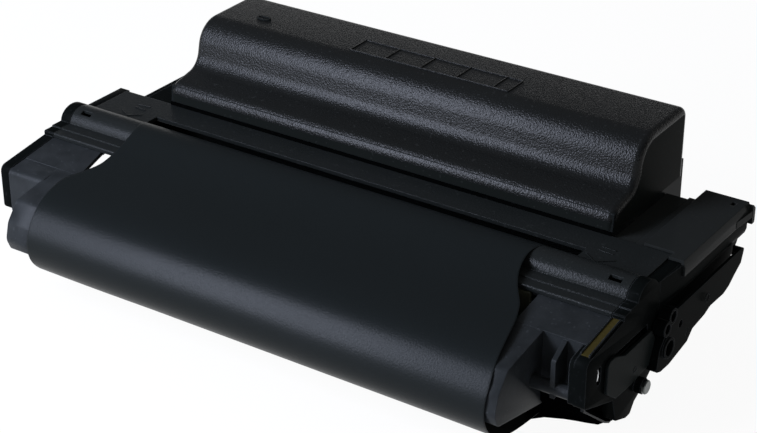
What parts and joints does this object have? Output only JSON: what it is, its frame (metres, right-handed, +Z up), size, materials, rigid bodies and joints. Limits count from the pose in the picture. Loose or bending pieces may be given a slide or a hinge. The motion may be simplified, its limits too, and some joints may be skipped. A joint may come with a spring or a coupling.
{
  "type": "toner cartridge",
  "caption": "Black laser printer toner cartridge: toner hopper behind, photosensitive drum unit in front under a protective sheet, joined by end plates, with rollers, blades and a gear train.",
  "frame": {"origin": "middle of the length, on the plane it stands on, 30 mm behind the drum axis", "axes": "+X along the drum towards the gear end, +Y from the drum to the hopper, +Z up"},
  "size_m": [0.3322, 0.1857, 0.0977],
  "materials": {
    "toner_tank": "satin, fine moulded grain",
    "hopper_cover": "satin, fine moulded grain",
    "gear_housing": "satin, fine moulded grain",
    "left_housing": "satin, fine moulded grain",
    "left_housing_cover": "satin, fine moulded grain",
    "top_cover": "satin, fine moulded grain",
    "drum_frame": "satin, fine moulded grain",
    "waste_box": "satin, fine moulded grain",
    "left_end_plate": "satin, fine moulded grain",
    "right_end_plate": "satin, fine moulded grain",
    "right_rear_lid": "satin, fine moulded grain",
    "gear_cover": "satin, fine moulded grain",
    "drum_cover": "satin, fine moulded grain",
    "drum_sheet": "thin black film, soft sheen",
    "opc_drum": "coated aluminium tube",
    "drum_flange": "natural moulded plastic",
    "drum_gear": "natural moulded plastic",
    "developer_gear": "natural moulded plastic",
    "supply_gear": "natural moulded plastic",
    "agitator_gear": "natural moulded plastic",
    "idler_gear_1": "natural moulded plastic",
    "idler_gear_2": "natural moulded plastic",
    "idler_gear_3": "natural moulded plastic",
    "fill_cap": "natural moulded plastic",
    "charge_bearing_left": "natural moulded plastic",
    "charge_bearing_right": "natural moulded plastic",
    "developer_bearing_left": "natural moulded plastic",
    "developer_bearing_right": "natural moulded plastic",
    "agitator": "natural moulded plastic",
    "supply_bush_left": "natural moulded plastic",
    "supply_bush_right": "natural moulded plastic",
    "agitator_bush_left": "natural moulded plastic",
    "agitator_bush_right": "natural moulded plastic",
    "drum_pin_left": "plated",
    "drum_pin_right": "plated",
    "charge_shaft": "plated",
    "developer_shaft": "plated",
    "supply_shaft": "plated",
    "pivot_pin": "plated",
    "contact_spring": "plated",
    "charge_spring_left": "plated",
    "charge_spring_right": "plated",
    "doctor_blade": "plated",
    "doctor_holder": "plated",
    "housing_screw_left_1": "plated",
    "housing_screw_left_2": "plated",
    "housing_screw_left_3": "plated",
    "housing_screw_right_1": "plated",
    "housing_screw_right_2": "plated",
    "housing_screw_right_3": "plated",
    "cleaning_holder": "zinc plated sheet",
    "charge_roller": "smooth conductive rubber",
    "developer_roller": "smooth conductive rubber",
    "supply_roller": "open foam",
    "cleaning_blade": "polyurethane",
    "agitator_wiper": "thin clear film",
    "edge_strip": "foam tape"
  },
  "bodies": {
    "cartridge_frame": {"toner_tank": "toner_tank", "hopper_cover": "hopper_cover", "gear_housing": "gear_housing", "left_housing": "left_housing", "left_housing_cover": "left_housing_cover", "top_cover": "top_cover", "drum_frame": "drum_frame", "waste_box": "waste_box", "left_end_plate": "left_end_plate", "right_end_plate": "right_end_plate", "right_rear_lid": "right_rear_lid", "gear_cover": "gear_cover", "drum_cover": "drum_cover", "drum_sheet": "drum_sheet", "fill_cap": "fill_cap", "charge_bearing_left": "charge_bearing_left", "charge_bearing_right": "charge_bearing_right", "developer_bearing_left": "developer_bearing_left", "developer_bearing_right": "developer_bearing_right", "supply_bush_left": "supply_bush_left", "supply_bush_right": "supply_bush_right", "agitator_bush_left": "agitator_bush_left", "agitator_bush_right": "agitator_bush_right", "drum_pin_left": "drum_pin_left", "drum_pin_right": "drum_pin_right", "pivot_pin": "pivot_pin", "contact_spring": "contact_spring", "charge_spring_left": "charge_spring_left", "charge_spring_right": "charge_spring_right", "doctor_blade": "doctor_blade", "doctor_holder": "doctor_holder", "housing_screw_left_1": "housing_screw_left_1", "housing_screw_left_2": "housing_screw_left_2", "housing_screw_left_3": "housing_screw_left_3", "housing_screw_right_1": "housing_screw_right_1", "housing_screw_right_2": "housing_screw_right_2", "housing_screw_right_3": "housing_screw_right_3", "cleaning_holder": "cleaning_holder", "cleaning_blade": "cleaning_blade", "edge_strip": "edge_strip"},
    "drum": {"opc_drum": "opc_drum", "drum_flange": "drum_flange", "drum_gear": "drum_gear"},
    "charge_roller_assembly": {"charge_roller": "charge_roller", "charge_shaft": "charge_shaft"},
    "developer_assembly": {"developer_roller": "developer_roller", "developer_shaft": "developer_shaft", "developer_gear": "developer_gear"},
    "supply_assembly": {"supply_roller": "supply_roller", "supply_shaft": "supply_shaft", "supply_gear": "supply_gear"},
    "agitator_assembly": {"agitator": "agitator", "agitator_wiper": "agitator_wiper", "agitator_gear": "agitator_gear"},
    "idler_1": {"idler_gear_1": "idler_gear_1"},
    "idler_2": {"idler_gear_2": "idler_gear_2"},
    "idler_3": {"idler_gear_3": "idler_gear_3"}
  },
  "joints": [
    {"name": "drum_spin", "type": "hinge", "parent": "cartridge_frame", "child": "drum", "pos_m": [0, -0.03, 0.026], "axis": [1, 0, 0], "continuous": true},
    {"name": "charge_spin", "type": "hinge", "parent": "cartridge_frame", "child": "charge_roller_assembly", "pos_m": [0, -0.01784, 0.04337], "axis": [1, 0, 0], "continuous": true},
    {"name": "developer_spin", "type": "hinge", "parent": "cartridge_frame", "child": "developer_assembly", "pos_m": [0, -0.00789, 0.01569], "axis": [1, 0, 0], "continuous": true},
    {"name": "idler_1_spin", "type": "hinge", "parent": "cartridge_frame", "child": "idler_1", "pos_m": [0, 0.00353, 0.02746], "axis": [1, 0, 0], "continuous": true},
    {"name": "supply_spin", "type": "hinge", "parent": "cartridge_frame", "child": "supply_assembly", "pos_m": [0, 0.00825, 0.01428], "axis": [1, 0, 0], "continuous": true},
    {"name": "idler_2_spin", "type": "hinge", "parent": "cartridge_frame", "child": "idler_2", "pos_m": [0, 0.02102, 0.02549], "axis": [1, 0, 0], "continuous": true},
    {"name": "idler_3_spin", "type": "hinge", "parent": "cartridge_frame", "child": "idler_3", "pos_m": [0, 0.03636, 0.03703], "axis": [1, 0, 0], "continuous": true},
    {"name": "agitator_spin", "type": "hinge", "parent": "cartridge_frame", "child": "agitator_assembly", "pos_m": [0, 0.06, 0.0412], "axis": [1, 0, 0], "continuous": true}
  ],
  "couplings": [
    {"joint": "charge_spin", "follows": "drum_spin", "ratio": -2.5862},
    {"joint": "developer_spin", "follows": "drum_spin", "ratio": -1.9048},
    {"joint": "idler_1_spin", "follows": "drum_spin", "ratio": 2},
    {"joint": "supply_spin", "follows": "drum_spin", "ratio": -2.6667},
    {"joint": "idler_2_spin", "follows": "drum_spin", "ratio": -1.6667},
    {"joint": "idler_3_spin", "follows": "drum_spin", "ratio": 1.6667},
    {"joint": "agitator_spin", "follows": "drum_spin", "ratio": -1.1111}
  ]
}
